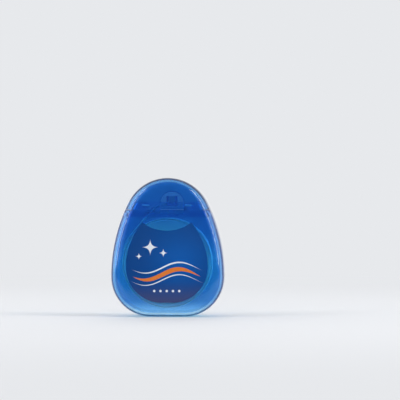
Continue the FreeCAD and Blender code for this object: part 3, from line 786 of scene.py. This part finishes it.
def makeSnapBar(name, side):
    # capsule: full radius along the run, falling as a quarter circle past each end of it
    look = snapBars
    bend = np.linspace(look["bendFrom"], math.pi / 2, look["bendSteps"])
    past = look["halfLength"] + look["radius"] * np.cos(bend)
    ring = look["radius"] * np.sin(bend)
    middle = side * look["middle"]
    x = middle + np.concatenate([-past, past[::-1]])[:, None]
    ring = np.concatenate([ring, ring[::-1]])[:, None]
    angle = np.linspace(0, 2 * math.pi, look["around"], endpoint=False)[None, :]
    y = look["depth"] + ring * np.cos(angle)
    z = look["height"] + ring * np.sin(angle)
    points = np.stack([x + 0 * angle, y, z], axis=-1)
    reach = look["halfLength"] + look["radius"]
    poles = np.array([(middle + end * reach, look["depth"], look["height"]) for end in (-1, 1)])
    uv = np.zeros((len(x), look["around"] + 1, 2))
    uv[..., 0] = x
    uv[..., 1] = np.linspace(0, 1, look["around"] + 1)[None, :]
    piece = gridPiece(name, points * mm, uv, barHighlightMaterial, "case", poles=poles * mm)


makeWinding()
makeOuterTurns()
makeLead()
makeSnapBar("snapBarLeft", -1)
makeSnapBar("snapBarRight", 1)
print("floss wound, snap bars in place")


# stage: a round sheet of pale paper that fades into an even pale backdrop

stage = {"paper": (0.80, 0.81, 0.83), "paperShade": (0.74, 0.76, 0.79),
         "fibreScale": 60.0, "fibreShare": 0.05, "paperRoughness": 0.9, "paperGloss": 0.1,
         "radius": 1.6, "rings": 48, "sectors": 96, "airGap": 0.00004,
         "fade": (0.10, 0.36), "backdrop": (0.80, 0.815, 0.84), "ambient": 0.45,
         "dark": (0.03, 0.03, 0.03), "darkFloor": (-0.035, -0.090),
         "darkCone": (-0.80, -0.20), "darkLean": 24.0, "darkRise": 0.5, "coneGloss": (0.04, 0.90)}


def makePaper():
    # fibres of two tones near the object; far off, the backdrop's own tone to the camera and to gloss, and
    # everywhere to glass; in front of the object it is dark to gloss, as the room is
    material, tree, shader = newMaterial("pale paper")
    setInputs(shader, Roughness=stage["paperRoughness"], Specular_IOR_Level=stage["paperGloss"])
    coords = addNode(tree, "ShaderNodeTexCoord").outputs["Object"]
    fibre = placeGroup(tree, driftGroup, coords, Scale=stage["fibreScale"])
    share = mathNode(tree, "MULTIPLY", fibre, stage["fibreShare"])
    paper = mixColours(tree, share, stage["paper"], stage["paperShade"])
    joinSockets(tree, (paper, shader.inputs["Base Color"]))
    far = addNode(tree, "ShaderNodeVectorMath", operation="LENGTH")
    joinSockets(tree, (coords, far.inputs[0]))
    rays = addNode(tree, "ShaderNodeLightPath").outputs
    seen = mathNode(tree, "MAXIMUM", rays["Is Camera Ray"], rays["Is Glossy Ray"])
    seen = mathNode(tree, "MULTIPLY", rangeMask(tree, far.outputs["Value"], stage["fade"]), seen)
    seen = mathNode(tree, "MAXIMUM", seen, rays["Is Transmission Ray"])
    front = rangeMask(tree, splitAxes(tree, coords)["Y"], stage["darkFloor"])
    front = mathNode(tree, "MULTIPLY", front, rays["Is Glossy Ray"])
    surface = shader.outputs[0]
    for share, tone in ((seen, stage["backdrop"]), (front, stage["dark"])):
        glow = addNode(tree, "ShaderNodeEmission")
        glow.inputs[0].default_value = (*tone, 1)
        mix = addNode(tree, "ShaderNodeMixShader")
        joinSockets(tree, (share, mix.inputs[0]), (surface, mix.inputs[1]), (glow.outputs[0], mix.inputs[2]))
        surface = mix.outputs[0]
    joinSockets(tree, (surface, tree.get_output_node("ALL").inputs[0]))
    return material


def makeStage():
    # disc: radius grows as the square of the ring number, closed round by sectors, with a pole at the middle
    radius = stage["radius"] * np.linspace(0, 1, stage["rings"] + 1)[1:] ** 2
    angle = np.linspace(0, 2 * math.pi, stage["sectors"], endpoint=False)
    ring, turn = np.meshgrid(radius, angle, indexing="ij")
    points = np.stack([ring * np.cos(turn), ring * np.sin(turn), 0 * ring - stage["airGap"]], axis=-1)
    points = np.concatenate([points.reshape(-1, 3), [[0, 0, -stage["airGap"]]]])
    i, j = np.meshgrid(np.arange(stage["rings"] - 1), np.arange(stage["sectors"]), indexing="ij")
    here, there = i * stage["sectors"], (i + 1) * stage["sectors"]
    jNext = (j + 1) % stage["sectors"]
    quads = np.stack([here + j, there + j, there + jNext, here + jNext], axis=-1).reshape(-1, 4)
    first = np.arange(stage["sectors"])
    middle = np.full(stage["sectors"], len(points) - 1)
    fan = np.stack([middle, first, (first + 1) % stage["sectors"]], axis=1)
    mesh = bpy.data.meshes.new("paperFloor")
    mesh.from_pydata(points.tolist(), [], quads.tolist() + fan.tolist())
    piece = bpy.data.objects.new("paperFloor", mesh)
    bpy.context.scene.collection.objects.link(piece)
    giveMaterial(piece, makePaper())


def makeBackdrop():
    # even pale tone for the camera and for glass; gloss sees it too, but not towards the dark front of the
    # room, a soft cone about the world's -Y that leans aside and upwards; all else gets low ambient light
    world = bpy.data.worlds.new("studio")
    bpy.context.scene.world = world
    world.use_nodes = True
    tree = world.node_tree
    background = tree.nodes["Background"]
    background.inputs[0].default_value = (*stage["backdrop"], 1)
    rays = addNode(tree, "ShaderNodeLightPath").outputs
    x, y, z = splitAxes(tree, addNode(tree, "ShaderNodeTexCoord").outputs["Generated"])
    lean = math.radians(stage["darkLean"])
    behind = mathNode(tree, "MULTIPLY", y, math.cos(lean))
    behind = mathNode(tree, "MULTIPLY_ADD", x, -math.sin(lean), behind)
    behind = mathNode(tree, "MULTIPLY_ADD", z, -stage["darkRise"], behind)
    room = rangeMask(tree, behind, stage["darkCone"], stage["coneGloss"])
    gloss = mathNode(tree, "MULTIPLY", rays["Is Glossy Ray"], room)
    other = mathNode(tree, "SUBTRACT", 1.0, rays["Is Glossy Ray"])
    level = mathNode(tree, "MULTIPLY_ADD", other, stage["ambient"], gloss)
    seen = mathNode(tree, "MAXIMUM", rays["Is Camera Ray"], rays["Is Transmission Ray"])
    joinSockets(tree, (mathNode(tree, "MAXIMUM", seen, level), background.inputs[1]))


lamps = {      # glow is the lamp face's own brightness, 1 being white; fill lamps show in no reflection
    "panelLeft": {"place": (-0.50, 0.00, 0.30), "aim": (0, 0, 0.14), "size": (0.62, 0.62), "glow": 1.1},
    "panelRight": {"place": (0.50, 0.00, 0.30), "aim": (0, 0, 0.14), "size": (0.62, 0.62), "glow": 0.25},
    "stripLeft": {"place": (-0.49, -0.20, 0.30), "aim": (0, 0, 0.03), "size": (0.07, 0.62), "glow": 5.5},
    "stripRight": {"place": (0.49, -0.11, 0.30), "aim": (0, 0, 0.03), "size": (0.09, 0.62), "glow": 9.0},
}
fillLamps = {
    "overhead": {"place": (0.0, -0.04, 0.66), "aim": (0, 0, 0), "size": (0.60, 0.34), "glow": 0.7},
    "backTop": {"place": (0.0, 0.45, 0.42), "aim": (0, 0, 0.02), "size": (0.60, 0.30), "glow": 1.5},
    "front": {"place": (0.05, -0.95, 0.30), "aim": (0, 0, 0.02), "size": (0.70, 0.50), "glow": 1.95},
}


def addLamp(name, look, fill):
    # its power is glow times pi times its area, and it turns its face to the aim
    lamp = bpy.data.lights.new(name, "AREA")
    lamp.shape = "RECTANGLE"
    lamp.size, lamp.size_y = look["size"]
    lamp.energy = look["glow"] * math.pi * lamp.size * lamp.size_y
    holder = bpy.data.objects.new(name, lamp)
    bpy.context.scene.collection.objects.link(holder)
    holder.location = look["place"]
    holder.rotation_mode = "QUATERNION"
    holder.rotation_quaternion = (Vector(look["aim"]) - Vector(look["place"])).to_track_quat("-Z", "Y")
    holder.visible_camera = False
    holder.visible_glossy = holder.visible_transmission = not fill


makeStage()
makeBackdrop()
for lampName, lampLook in lamps.items():
    addLamp(lampName, lampLook, fill=False)
for lampName, lampLook in fillLamps.items():
    addLamp(lampName, lampLook, fill=True)


# camera: the photograph's viewing angle and framing, with the dispenser low and left of the middle

camera = {"distance": 0.70, "frameWidth": 0.1422, "aimX": 0.01127, "aimZ": 0.0412, "turn": 3.0,
          "sensor": 36.0, "clip": (0.01, 10.0)}


def makeCamera():
    # straight ahead from the distance, then turned about the upright axis; the lens fits the frame's width
    data = bpy.data.cameras.new("camera")
    data.sensor_width = camera["sensor"]
    data.lens = data.sensor_width * camera["distance"] / camera["frameWidth"]
    data.clip_start, data.clip_end = camera["clip"]
    holder = bpy.data.objects.new("camera", data)
    bpy.context.scene.collection.objects.link(holder)
    turn = Matrix.Rotation(math.radians(camera["turn"]), 4, "Z")
    holder.location = turn @ Vector((camera["aimX"], -camera["distance"], camera["aimZ"]))
    holder.rotation_mode = "QUATERNION"
    holder.rotation_quaternion = (turn.to_3x3() @ Vector((0, 1, 0))).to_track_quat("-Z", "Y")
    bpy.context.scene.camera = holder


makeCamera()
bpy.context.scene.view_settings.view_transform = "Standard"
print("stage, lamps and camera placed")
